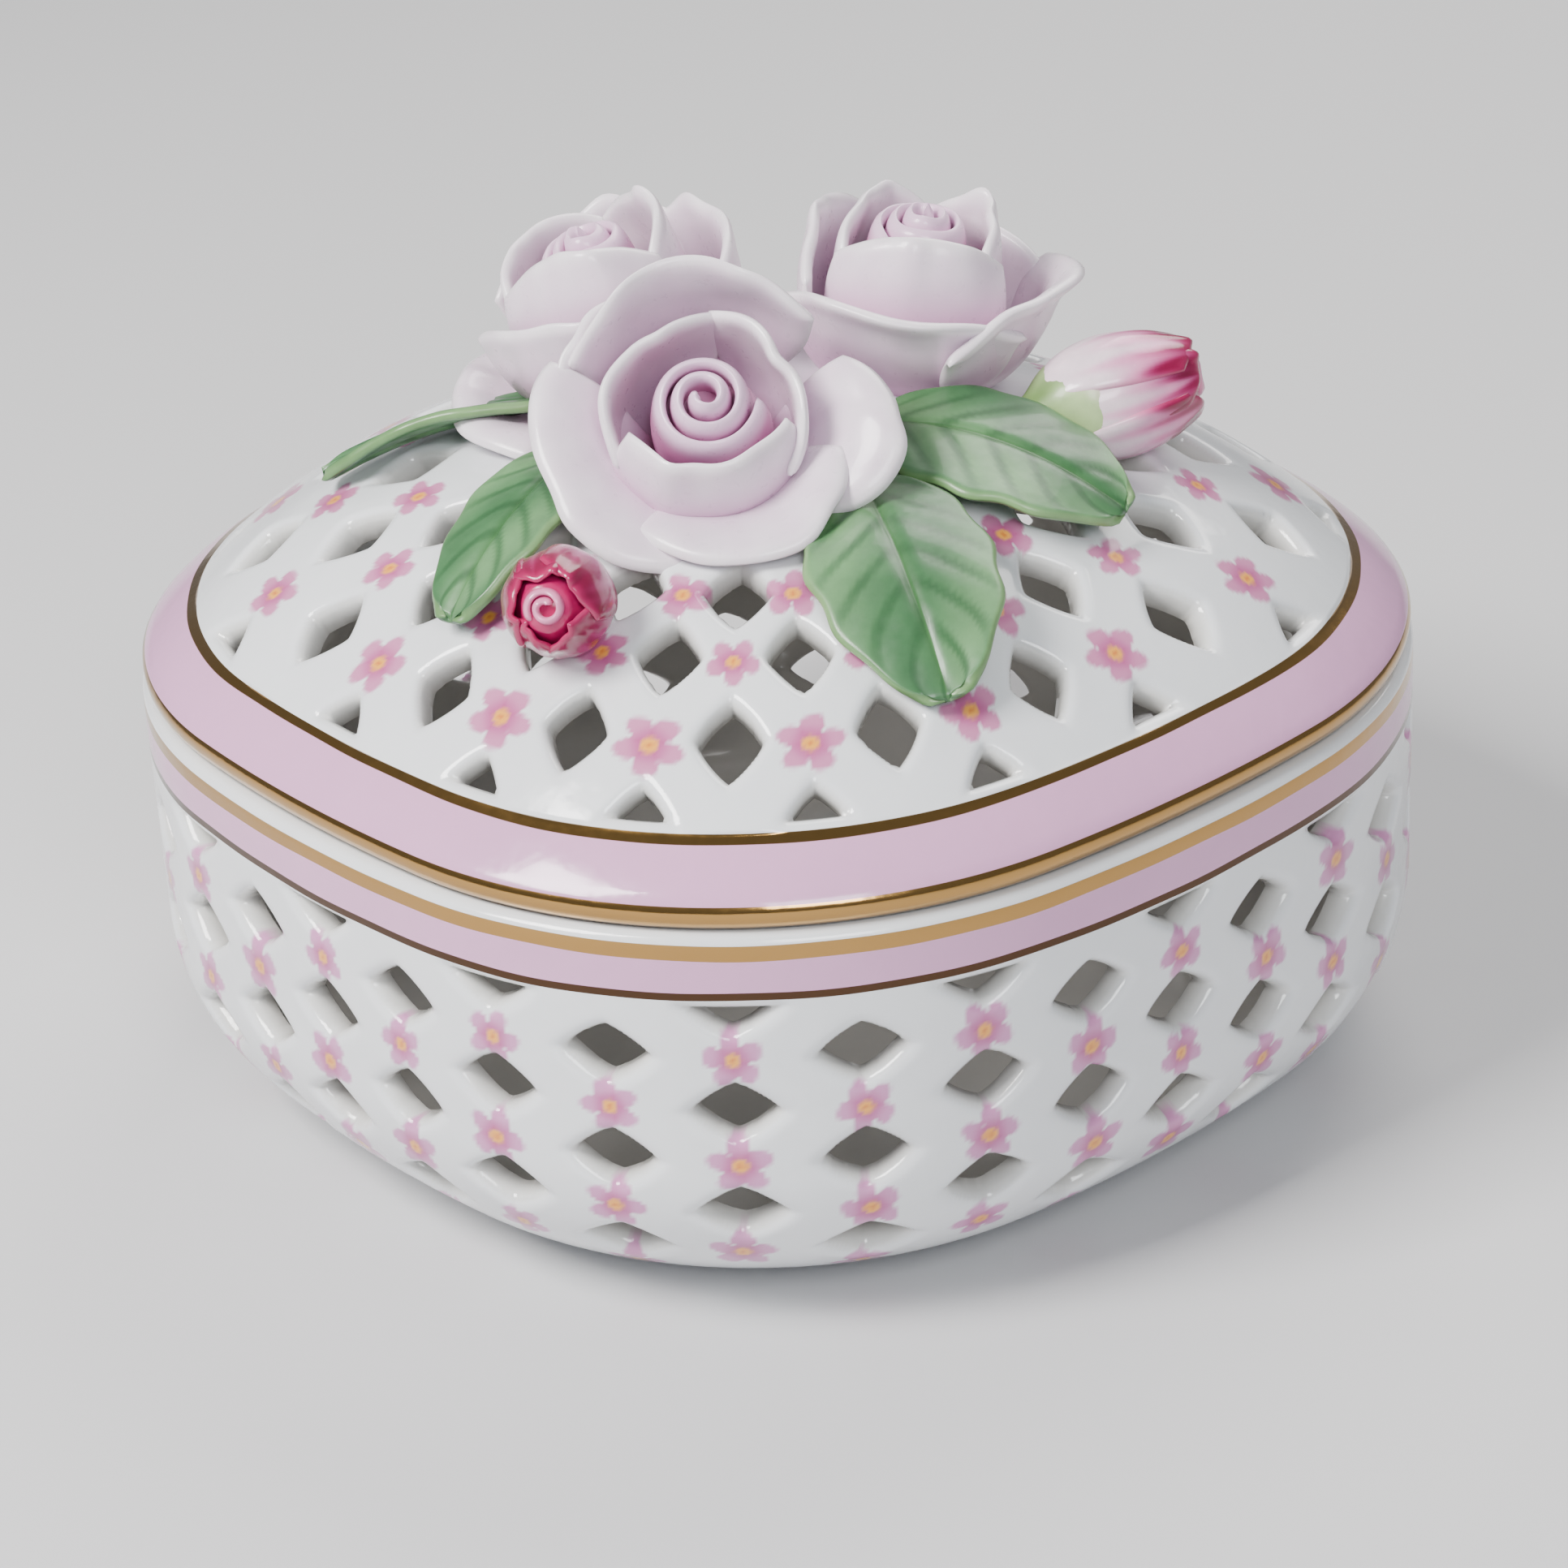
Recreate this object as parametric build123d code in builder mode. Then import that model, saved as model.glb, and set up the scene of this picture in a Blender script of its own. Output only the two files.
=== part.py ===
from build123d import *
from math import atan2, cos, degrees, radians, sin, sqrt
import os

os.makedirs("parts", exist_ok=True)

# Porcelain trinket box: a pierced body, a pierced lift-off lid, and a spray of handmade
# porcelain roses, buds and leaves luted to the lid. Millimetres. The floor is z = 0, the lid
# lifts along +Z, and the box's four bowed sides face +X, +Y, -X and -Y.

# ---- driving dimensions ----
body_plan = (58.8, 130.0, 47.0)     # half width, radius of the bowed sides, radius of the corners
lid_plan = (58.0, 166.0, 45.5)
wall = 3.2                          # thickness of the pierced walls
foot_height = 1.6
foot_scale = 0.62                   # the foot ring's outline as a share of the body's
foot_inner_scale = 0.57
bottom_radius = 17.0                # the belly's turn from wall to underside
floor_thickness = 3.4
rim_z = 43.5                        # flat rim of the body, on which the lid rests
rim_round = 0.9
seat_gap = 0.1
band_z = 46.0                       # widest line of the lid, above its rolled edge
roll_radius = 1.1
band_width = 5.1                    # painted band between the edge and the dome
band_rise = 4.1
dome_rise = 17.5
dome_power = 2.8                    # 2 is a parabola, more is flatter on top
flange_depth = 4.0                  # locating flange inside the body's mouth
flange_wall = 2.4
flange_gap = 0.7
hollow_inset = 2.2                  # sideways step from the dome's outside to its hollow at the foot
weld = 0.5                          # overlap that joins two solids of one piece
columns = 17                        # openings in one row round the box
body_rows = [31.0, 25.6, 20.2, 14.8, 9.6]
body_hole = (8.0, 5.7)              # width and height of a diamond opening
top_row_z = 35.0
top_row_hole = (6.4, 3.4)
lid_rows = [0.79, 0.665, 0.55]      # place of each row between the centre (0) and the edge (1)
lid_crowding = 6.5                  # degrees by which the lid's columns draw towards two corners
lid_hole = (5.4, 7.8)               # width round the lid and length up the dome
edge_row = 0.868                    # row of small openings beside the band
edge_row_hole = (4.0, 2.8)
spray_turn = -39.8                  # the spray faces the box's (-X, -Y) corner
petal_thickness = 1.4
rim_corner_radius = 3.4
leaf_thickness = 1.3
leaf_block = 12.0                   # height above and below a leaf from which it is cut
leaf_widest = -0.05                 # the widest place, as a share of the length from the middle


# ---- outline of the box ----
def corner_centre(plan):
    """Distance in x and in y of a corner arc's centre from the middle of the box."""
    half, side, corner = plan
    return (half - side + sqrt(2 * (side - corner) ** 2 - (half - side) ** 2)) / 2


def scaled(plan, factor):
    return tuple(size * factor for size in plan)


def inset(plan, distance):
    return tuple(size - distance for size in plan)


def outline(plan):
    """Rounded square with bowed sides: four side arcs joined by four tangent corner arcs."""
    half, side, corner = plan
    centre = corner_centre(plan)
    turn = degrees(atan2(centre, centre - half + side))
    with BuildSketch() as shape:
        with BuildLine():
            for quarter in range(0, 360, 90):
                side_middle = Vector(half - side, 0).rotate(Axis.Z, quarter)
                corner_middle = Vector(centre, centre).rotate(Axis.Z, quarter)
                CenterArc(side_middle, side, quarter - turn, 2 * turn)
                CenterArc(corner_middle, corner, quarter + turn, 90 - 2 * turn)
        make_face()
    return shape.sketch


def reach(plan, bearing):
    """Distance from the middle to the outline at a bearing in degrees."""
    half, side, corner = plan
    centre = corner_centre(plan)
    turn = degrees(atan2(centre, centre))
    folded = radians(abs((bearing + 45) % 90 - 45))
    side_end = atan2(centre + corner * sin(atan2(centre, centre - half + side)),
                     centre + corner * cos(atan2(centre, centre - half + side)))
    if folded < side_end:
        return (half - side) * cos(folded) + sqrt(side ** 2 - ((half - side) * sin(folded)) ** 2)
    off = radians(turn) - folded
    diagonal = centre * sqrt(2)
    return diagonal * cos(off) + sqrt(corner ** 2 - (diagonal * sin(off)) ** 2)


def diamond(width, height):
    with BuildSketch() as shape:
        with BuildLine():
            Polyline((width / 2, 0), (0, height / 2), (-width / 2, 0), (0, -height / 2), close=True)
        make_face()
    return shape.sketch


# ---- body ----
def belly(z):
    """Inset of the body's outside from its widest outline at height z, and its tilt in degrees."""
    drop = bottom_radius + foot_height - z
    if drop <= 0:
        return 0.0, 0.0
    level = sqrt(bottom_radius ** 2 - drop ** 2)
    return bottom_radius - level, degrees(atan2(drop, level))


def body_planes(z, offset):
    """Planes on the body's outside, one per opening of the row at height z, facing outwards."""
    depth, tilt = belly(z)
    planes = []
    for column in range(columns):
        bearing = 225 + (column + offset) * 360 / columns
        out = Vector(1, 0).rotate(Axis.Z, bearing)
        along = Vector(0, 1).rotate(Axis.Z, bearing)
        facing = out.rotate(Axis((0, 0, 0), along), tilt)
        point = out * (reach(body_plan, bearing) - depth) + Vector(0, 0, z)
        planes.append(Plane(origin=point, x_dir=along, z_dir=facing))
    return planes


with BuildPart() as box_body:
    with BuildSketch(Plane.XY.offset(foot_height)):
        add(outline(body_plan))
    extrude(amount=rim_z - foot_height)
    fillet(box_body.edges().group_by(Axis.Z)[0], radius=bottom_radius)
    fillet(box_body.edges().group_by(Axis.Z)[-1], radius=rim_round)
    with BuildSketch(Plane.XY):
        add(outline(scaled(body_plan, foot_scale)))
        add(outline(scaled(body_plan, foot_inner_scale)), mode=Mode.SUBTRACT)
    extrude(amount=foot_height + weld)

with BuildPart() as cavity:
    with BuildSketch(Plane.XY.offset(foot_height + floor_thickness)):
        add(outline(inset(body_plan, wall)))
    extrude(amount=rim_z)
    fillet(cavity.edges().group_by(Axis.Z)[0], radius=bottom_radius - wall)

with box_body:
    add(cavity.part, mode=Mode.SUBTRACT)
    for row, z in enumerate(body_rows):
        with BuildSketch(*body_planes(z, 0.5 * ((row + 1) % 2))):
            add(diamond(*body_hole))
        extrude(amount=2 * wall, both=True, mode=Mode.SUBTRACT)
    with BuildSketch(*body_planes(top_row_z, 0)):
        add(diamond(*top_row_hole))
    extrude(amount=2 * wall, both=True, mode=Mode.SUBTRACT)


# ---- lid ----
dome_foot = 1 - band_width / lid_plan[0]


def dome_height(share):
    """Height of the dome at a share of the way from the centre to the edge."""
    return band_z + band_rise + dome_rise * (1 - (share / dome_foot) ** dome_power)


def dome_slope(share):
    """Downhill angle of the dome in degrees."""
    fall = dome_rise * dome_power * (share / dome_foot) ** (dome_power - 1) / (dome_foot * lid_plan[0])
    return degrees(atan2(fall, 1))


def lid_planes(share, offset):
    """Planes on the dome, one per opening of a row, facing outwards; x is round the lid."""
    planes = []
    for column in range(columns):
        turn = (column + offset) * 360 / columns
        bearing = 225 + turn - lid_crowding * sin(radians(2 * turn))
        out = Vector(1, 0).rotate(Axis.Z, bearing)
        along = Vector(0, 1).rotate(Axis.Z, bearing)
        facing = Vector(0, 0, 1).rotate(Axis((0, 0, 0), along), dome_slope(share))
        point = out * (reach(lid_plan, bearing) * share) + Vector(0, 0, dome_height(share))
        planes.append(Plane(origin=point, x_dir=along, z_dir=facing))
    return planes


dome_stations = [dome_foot * step for step in (1.0, 0.86, 0.7, 0.5, 0.28, 0.08)]

with BuildPart() as dome:
    with BuildSketch(Plane.XY.offset(band_z)):
        add(outline(lid_plan))
    with BuildSketch(Plane.XY.offset(band_z + band_rise)):
        add(outline(scaled(lid_plan, dome_foot)))
    loft(ruled=True)
    for low, high in zip(dome_stations, dome_stations[1:]):
        with BuildSketch(Plane.XY.offset(dome_height(low))):
            add(outline(scaled(lid_plan, low)))
        with BuildSketch(Plane.XY.offset(dome_height(high))):
            add(outline(scaled(lid_plan, high)))
        loft(ruled=True)

with BuildPart() as hollow:
    with BuildSketch(Plane.XY.offset(rim_z)):
        add(outline(inset(lid_plan, wall + flange_gap + flange_wall)))
    with BuildSketch(Plane.XY.offset(band_z + band_rise - wall)):
        add(outline(inset(scaled(lid_plan, dome_foot), hollow_inset)))
    loft(ruled=True)
    for low, high in zip(dome_stations, dome_stations[1:]):
        with BuildSketch(Plane.XY.offset(dome_height(low) - wall)):
            add(outline(inset(scaled(lid_plan, low), hollow_inset * low / dome_foot)))
        with BuildSketch(Plane.XY.offset(dome_height(high) - wall)):
            add(outline(inset(scaled(lid_plan, high), hollow_inset * high / dome_foot)))
        loft(ruled=True)

with BuildPart() as lid_shell:
    with BuildSketch(Plane.XY.offset(rim_z + seat_gap)):
        add(outline(lid_plan))
    extrude(amount=band_z - rim_z - seat_gap)
    fillet(lid_shell.edges().group_by(Axis.Z)[0], radius=roll_radius)
    add(dome.part)
    with BuildSketch(Plane.XY.offset(rim_z - flange_depth)):
        add(outline(inset(body_plan, wall + flange_gap)))
    extrude(amount=flange_depth + band_z - rim_z)
    with BuildSketch(Plane.XY.offset(rim_z - flange_depth)):
        add(outline(inset(body_plan, wall + flange_gap + flange_wall)))
    extrude(amount=flange_depth + weld, mode=Mode.SUBTRACT)
    add(hollow.part, mode=Mode.SUBTRACT)
    for row, share in enumerate(lid_rows):
        with BuildSketch(*lid_planes(share, 0.5 * (row % 2))):
            add(diamond(*lid_hole))
        extrude(amount=2 * wall, both=True, mode=Mode.SUBTRACT)
    with BuildSketch(*lid_planes(edge_row, 0.5)):
        add(diamond(*edge_row_hole))
    extrude(amount=2 * wall, both=True, mode=Mode.SUBTRACT)

box_body.part.label = "box_body"
lid_shell.part.label = "lid_shell"
export_step(box_body.part, "parts/box_body.step")
export_step(lid_shell.part, "parts/lid_shell.step")


# ---- spray of flowers ----
# Places in the spray are (across, back, up): across runs to the right of someone facing the
# spray, back runs away from them, and up is measured from the lid's band line.
spray = Plane(origin=(0, 0, band_z)).rotated((0, 0, spray_turn))


def place(point):
    return spray.from_local_coords(Vector(*point))


def direction(vector):
    return Vector(*vector).rotate(Axis.Z, spray_turn).normalized()


def stand(base, axis):
    """Plane at a base point whose normal is the given axis; its x runs across the spray."""
    up = direction(axis)
    side = direction((1, 0, 0))
    side = (side - up * side.dot(up)).normalized()
    return Plane(origin=place(base), x_dir=side, z_dir=up)


def save(piece, name):
    piece.part.label = name
    export_step(piece.part, f"parts/{name}.step")


# The clay pad that the flowers are pressed into follows the dome.
pad_radius = 19.0
pad_height = 2.6
pad_edge_drop = 0.9
with BuildPart() as flower_pad:
    with BuildSketch(Plane.XZ) as half_section:
        with BuildLine():
            crown = dome_height(0) + pad_height
            pad_edge = dome_height(0) - pad_edge_drop
            pad_bottom = pad_edge - 2 * wall
            Line((0, pad_bottom), (pad_radius, pad_bottom))
            Line((pad_radius, pad_bottom), (pad_radius, pad_edge))
            Spline((pad_radius, pad_edge), (pad_radius * 0.6, crown - 0.9), (0, crown),
                   tangents=[(-0.4, 1), (-1, 0)])
            Line((0, crown), (0, pad_bottom))
        make_face()
    revolve(axis=Axis.Z)
    add(dome.part, mode=Mode.SUBTRACT)
save(flower_pad, "flower_pad")


def placed(shape, plane, bearing=0):
    """The shape, modelled upright at the origin, turned and then stood on a plane."""
    with BuildPart() as moved:
        with Locations(plane.location * Location((0, 0, 0), (0, 0, bearing))):
            add(shape.part)
    return moved


def turned(points):
    """Upright turned solid from (radius, height) points joined by a smooth line."""
    with BuildPart() as shape:
        with BuildSketch(Plane.XZ):
            with BuildLine():
                Spline(*points)
                Line(points[-1], (0, points[-1][1]))
                Line((0, points[-1][1]), (0, points[0][1]))
                Line((0, points[0][1]), points[0])
            make_face()
        revolve(axis=Axis.Z)
    return shape


def petal(wall_line, arc):
    """One upright petal: an arc of a turned cup with its two rim corners rounded.

    wall_line is the petal's middle line as (radius, height) points: root, belly and rim.
    """
    half = petal_thickness / 2
    with BuildPart() as shape:
        with BuildSketch(Plane.XZ):
            with BuildLine():
                inner = ThreePointArc(*[(r - half, h) for r, h in wall_line])
                outer = ThreePointArc(*[(r + half, h) for r, h in wall_line])
                Line(inner @ 0, outer @ 0)
                Line(inner @ 1, outer @ 1)
            make_face()
        revolve(axis=Axis.Z, revolution_arc=arc)
        rim_corners = shape.edges().filter_by(GeomType.LINE).sort_by(Axis.Z)[-2:]
        fillet(rim_corners, radius=rim_corner_radius)
    return shape


heart_line = [(4.0, -2.5), (4.6, 3.0), (4.5, 9.0), (3.4, 13.5), (2.2, 14.6)]
inner_line = [(5.5, -2.0), (8.5, 6.0), (8.6, 13.0)]
outer_line = [(6.9, -2.0), (12.3, 3.4), (14.3, 10.6)]
inner_bearings = (30, 150, 270)
inner_arc = 114
outer_arc = 66

# name: base, axis, height of the cup, then (bearing, reach, rim height) of each outer petal
roses = {
    "front": ((-5.0, -13.0, 22.3), (-0.02, -0.72, 0.70), 1.0,
              [(90, 1.0, 1.06), (162, 1.08, 0.98), (234, 1.0, 0.98), (306, 0.98, 0.98), (18, 1.08, 0.95)]),
    "left": ((-12.0, 6.5, 22.8), (-0.16, 0.02, 0.99), 1.12,
             [(120, 1.0, 1.15), (190, 1.08, 0.8), (255, 0.92, 1.0), (50, 0.92, 1.25)]),
    "right": ((14.5, 6.0, 22.6), (0.16, -0.04, 0.99), 1.14,
              [(60, 1.0, 1.1), (345, 1.07, 0.95), (275, 1.0, 0.95), (140, 0.88, 1.60)]),
}


def stretched(line, reach_factor, height_factor):
    """Widen a petal line towards its rim and raise its upper end."""
    root = line[0][1]
    rim = line[-1][1]
    stretched_line = []
    for r, h in line:
        share = (h - root) / (rim - root)
        stretched_line.append((r * (1 + (reach_factor - 1) * share), root + (h - root) * height_factor))
    return stretched_line


for name, (base, axis, cup, outer_petals) in roses.items():
    rose = stand(base, axis)
    heart = turned(stretched(heart_line, 1, cup))
    save(placed(heart, rose), f"rose_{name}_heart")
    inner_petal = petal(stretched(inner_line, 1, cup), inner_arc)
    for number, bearing in enumerate(inner_bearings, start=1):
        save(placed(inner_petal, rose, bearing - inner_arc / 2), f"rose_{name}_inner_petal_{number}")
    for number, (bearing, reach_factor, height_factor) in enumerate(outer_petals, start=1):
        outer_petal = petal(stretched(outer_line, reach_factor, height_factor), outer_arc)
        save(placed(outer_petal, rose, bearing - outer_arc / 2), f"rose_{name}_outer_petal_{number}")

# ---- buds ----
bud_line = [(1.6, 1.0), (3.9, 3.2), (5.4, 7.5), (4.9, 12.0), (2.4, 16.0)]
calyx_line = [(1.5, -2.5), (2.4, 0.0), (4.6, 2.6), (5.7, 5.6)]
# name: base, axis, factor on the length, factor on the radius
buds = {
    "front": ((-18.0, -31.5, 16.5), (-0.16, -0.87, 0.32), 0.78, 0.90),
    "right": ((25.0, -7.5, 21.0), (0.95, 0.30, 0.12), 1.12, 1.05),
}
for name, (base, axis, length_factor, radius_factor) in buds.items():
    stem = stand(base, axis)
    petals = turned([(r * radius_factor, h * length_factor) for r, h in bud_line])
    calyx = turned([(r * radius_factor, h * length_factor) for r, h in calyx_line])
    with calyx:
        add(petals.part, mode=Mode.SUBTRACT)
    save(placed(petals, stem), f"bud_{name}_petals")
    save(placed(calyx, stem), f"bud_{name}_calyx")

# ---- leaves ----
# name: root, tip, width, radius of the leaf's bow
leaves = {
    "right": ((10.5, -9.0, 24.5), (33.0, -21.5, 17.6), 15.5, 34.0),
    "front": ((7.5, -18.0, 23.0), (15.2, -46.5, 11.6), 16.5, 40.0),
    "left": ((-17.0, -12.5, 23.5), (-29.5, -31.5, 14.2), 11.0, 40.0),
    "far_left": ((-19.0, 0.0, 23.0), (-43.3, 2.0, 15.2), 8.0, 46.0),
    "back": ((2.0, 16.0, 23.0), (4.0, 39.0, 14.5), 12.0, 40.0),
}
for name, (root, tip, width, bow) in leaves.items():
    start, end = place(root), place(tip)
    along = (end - start).normalized()
    across = Vector(0, 0, 1).cross(along).normalized()
    facing = along.cross(across)
    middle = (start + end) / 2
    length = (end - start).length
    bowl_centre = middle - facing * sqrt(bow ** 2 - (length / 2) ** 2)
    with BuildPart() as leaf:
        with BuildSketch(Plane(origin=middle, x_dir=along, z_dir=facing)):
            with BuildLine():
                Spline((-length / 2, 0), (length * leaf_widest, width / 2), (length / 2, 0),
                       tangents=[(0.6, 1), (1, -0.9)])
                Spline((-length / 2, 0), (length * leaf_widest, -width / 2), (length / 2, 0),
                       tangents=[(0.6, -1), (1, 0.9)])
            make_face()
        extrude(amount=leaf_block, both=True)
        with Locations(bowl_centre):
            Sphere(bow + leaf_thickness / 2, mode=Mode.INTERSECT)
            Sphere(bow - leaf_thickness / 2, mode=Mode.SUBTRACT)
    save(leaf, f"leaf_{name}")
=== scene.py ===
from math import atan2, cos, pi, radians, sin, sqrt

import bpy
import numpy as np
from mathutils import Matrix, Vector


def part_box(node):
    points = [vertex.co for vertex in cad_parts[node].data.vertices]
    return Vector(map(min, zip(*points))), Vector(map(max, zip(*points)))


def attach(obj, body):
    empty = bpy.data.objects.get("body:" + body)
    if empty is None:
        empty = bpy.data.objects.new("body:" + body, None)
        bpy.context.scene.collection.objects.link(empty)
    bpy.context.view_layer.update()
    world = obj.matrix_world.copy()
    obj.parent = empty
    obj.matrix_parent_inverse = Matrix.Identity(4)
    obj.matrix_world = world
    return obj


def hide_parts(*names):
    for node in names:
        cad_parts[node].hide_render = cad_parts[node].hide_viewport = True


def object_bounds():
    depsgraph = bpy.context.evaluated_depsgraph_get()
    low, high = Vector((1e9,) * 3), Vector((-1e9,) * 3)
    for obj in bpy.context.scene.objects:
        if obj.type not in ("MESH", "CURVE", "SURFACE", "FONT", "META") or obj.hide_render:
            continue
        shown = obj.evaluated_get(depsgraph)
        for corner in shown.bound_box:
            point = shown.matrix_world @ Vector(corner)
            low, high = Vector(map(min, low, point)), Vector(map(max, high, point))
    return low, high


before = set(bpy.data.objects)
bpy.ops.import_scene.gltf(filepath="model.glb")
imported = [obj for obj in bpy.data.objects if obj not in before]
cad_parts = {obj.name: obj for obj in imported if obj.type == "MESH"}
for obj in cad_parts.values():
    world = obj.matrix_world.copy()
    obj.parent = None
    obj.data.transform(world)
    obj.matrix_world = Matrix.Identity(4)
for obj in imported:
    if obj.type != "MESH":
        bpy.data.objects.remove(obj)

# Porcelain trinket box. Shapes are worked out in millimetres and written in metres.
MM = 0.001
cad_box = [list(corner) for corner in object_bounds()]
rng = np.random.default_rng(11)


def box_mm(node):
    low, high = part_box(node)
    return np.array(low) / MM, np.array(high) / MM


body_high = box_mm("box_body")[1]
lid_low, lid_high = box_mm("lid_shell")
BODY_HALF = body_high[0] - 0.02
LID_HALF = min(lid_high[0], 58.0)
RIM_Z = body_high[2]
BAND_Z = RIM_Z + 2.5            # the lid's widest line
DOME_Z = BAND_Z + 4.1           # the dome's foot
APEX_Z = lid_high[2]
FLANGE_Z = lid_low[2]
DOME_FOOT = 0.912
WALL = 3.1
BODY_SIDE, BODY_CORNER = 130.0, 47.0    # radii of the bowed sides and of the corners, in plan
LID_SIDE, LID_CORNER = 166.0, 45.5
COLUMNS = 17
CROWDING = radians(6.5)         # the lid's columns draw towards two corners
SNAP = 0.05                     # grid points this near to an opening's edge count as on it
FRONT = radians(225)
SPRAY = radians(-39.8)

# ---- colours, as seen on a screen ----
GLAZE = (0.90, 0.91, 0.92)
PINK = (0.83, 0.62, 0.77)
GOLD = (0.70, 0.54, 0.30)
# darker gilding for the thin line under the body's pink band; the same colour on the underside of the lid's
# rolled gold edge is painted shade
DARK_GOLD_AND_SHADE = (0.30, 0.20, 0.12)
# painted shade: the inner sheets of body and lid are coloured greyer than the outer glaze
INSIDE_SHADE = (0.80, 0.79, 0.77)
EDGE_SHADE = (0.80, 0.79, 0.76)     # painted shade along the rolled edge of each opening


def linear(rgb):
    rgb = np.asarray(rgb, float)
    return np.where(rgb <= 0.04045, rgb / 12.92, ((rgb + 0.055) / 1.055) ** 2.4)


def mixed(a, b, share):
    share = np.clip(np.asarray(share, float), 0, 1)[..., None]
    return np.asarray(a, float) * (1 - share) + np.asarray(b, float) * share


def smooth(low, high, x):
    t = np.clip((x - low) / (high - low), 0, 1)
    return t * t * (3 - 2 * t)


# ---- materials ----
def porcelain(name, roughness, mottle, mottle_scale, bump, subsurface, coat=0.35):
    """Glazed and painted porcelain: the paint and some painted shade are in the mesh's own colours, the rest
    in nodes.
    """
    mat = bpy.data.materials.new(name)
    mat.use_nodes = True
    nodes, links = mat.node_tree.nodes, mat.node_tree.links
    shader = nodes["Principled BSDF"]
    shader.inputs["Coat Weight"].default_value = coat
    shader.inputs["Coat Roughness"].default_value = 0.05
    shader.inputs["IOR"].default_value = 1.5
    shader.inputs["Subsurface Weight"].default_value = subsurface
    shader.inputs["Subsurface Radius"].default_value = (0.9, 0.75, 0.7)
    shader.inputs["Subsurface Scale"].default_value = 0.0012
    paint = nodes.new("ShaderNodeAttribute")
    paint.attribute_name = "paint"
    gilt = nodes.new("ShaderNodeAttribute")
    gilt.attribute_name = "gilt"
    coords = nodes.new("ShaderNodeTexCoord")
    cloud = nodes.new("ShaderNodeTexNoise")
    cloud.inputs["Scale"].default_value = mottle_scale
    cloud.inputs["Detail"].default_value = 5.0
    cloud.inputs["Roughness"].default_value = 0.6
    links.new(coords.outputs["Object"], cloud.inputs["Vector"])
    ramp = nodes.new("ShaderNodeValToRGB")
    ramp.color_ramp.elements[0].position = 0.35
    ramp.color_ramp.elements[0].color = (1 - mottle, 1 - mottle, 1 - mottle * 0.9, 1)
    ramp.color_ramp.elements[1].position = 0.68
    ramp.color_ramp.elements[1].color = (1, 1, 1, 1)
    links.new(cloud.outputs["Fac"], ramp.inputs["Fac"])
    multiply = nodes.new("ShaderNodeMix")
    multiply.data_type = "RGBA"
    multiply.blend_type = "MULTIPLY"
    multiply.inputs["Factor"].default_value = 1.0
    links.new(paint.outputs["Color"], multiply.inputs[6])
    links.new(ramp.outputs["Color"], multiply.inputs[7])
    links.new(multiply.outputs[2], shader.inputs["Base Color"])
    links.new(gilt.outputs["Fac"], shader.inputs["Metallic"])
    gloss = nodes.new("ShaderNodeTexNoise")
    gloss.inputs["Scale"].default_value = 900.0
    gloss.inputs["Detail"].default_value = 3.0
    links.new(coords.outputs["Object"], gloss.inputs["Vector"])
    span = nodes.new("ShaderNodeMapRange")
    span.inputs["To Min"].default_value = roughness * 0.7
    span.inputs["To Max"].default_value = roughness * 1.3
    links.new(gloss.outputs["Fac"], span.inputs["Value"])
    links.new(span.outputs["Result"], shader.inputs["Roughness"])
    ripple = nodes.new("ShaderNodeTexNoise")
    ripple.inputs["Scale"].default_value = 330.0
    ripple.inputs["Detail"].default_value = 2.0
    links.new(coords.outputs["Object"], ripple.inputs["Vector"])
    bumper = nodes.new("ShaderNodeBump")
    bumper.inputs["Strength"].default_value = bump
    bumper.inputs["Distance"].default_value = 0.0004
    links.new(ripple.outputs["Fac"], bumper.inputs["Height"])
    links.new(bumper.outputs["Normal"], shader.inputs["Normal"])
    return mat


SHELL = porcelain("glazed_shell", 0.16, 0.05, 60.0, 0.16, 0.05)
PETAL = porcelain("petal_glaze", 0.30, 0.07, 260.0, 0.14, 0.12, 0.25)
BUD = porcelain("bud_glaze", 0.24, 0.12, 420.0, 0.20, 0.08)
LEAF = porcelain("leaf_glaze", 0.36, 0.22, 240.0, 0.20, 0.05, 0.12)


# ---- meshes ----
def make(name, verts, faces, colour, material, body, slot, nodes, gilt=None):
    """A smooth mesh piece with painted colours that rides on a body and stands for CAD nodes."""
    mesh = bpy.data.meshes.new(name)
    mesh.from_pydata((np.asarray(verts) * MM).tolist(), [], faces)
    mesh.polygons.foreach_set("use_smooth", [True] * len(mesh.polygons))
    rgba = np.ones((len(verts), 4), np.float32)
    rgba[:, :3] = linear(np.clip(colour, 0, 1))
    paint = mesh.color_attributes.new("paint", "FLOAT_COLOR", "POINT")
    paint.data.foreach_set("color", rgba.ravel())
    metal = mesh.attributes.new("gilt", "FLOAT", "POINT")
    metal.data.foreach_set("value", np.zeros(len(verts)) if gilt is None else np.asarray(gilt, float))
    mesh.materials.append(material)
    mesh.update()
    piece = bpy.data.objects.new(name, mesh)
    bpy.context.scene.collection.objects.link(piece)
    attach(piece, body)
    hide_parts(*nodes)
    return piece


def joined(parts):
    """Several (verts, faces, colour) joined to one."""
    verts, faces, colours, base = [], [], [], 0
    for v, f, c in parts:
        verts.append(v)
        colours.append(c)
        faces += [[i + base for i in face] for face in f]
        base += len(v)
    return np.vstack(verts), faces, np.vstack(colours)


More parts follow.
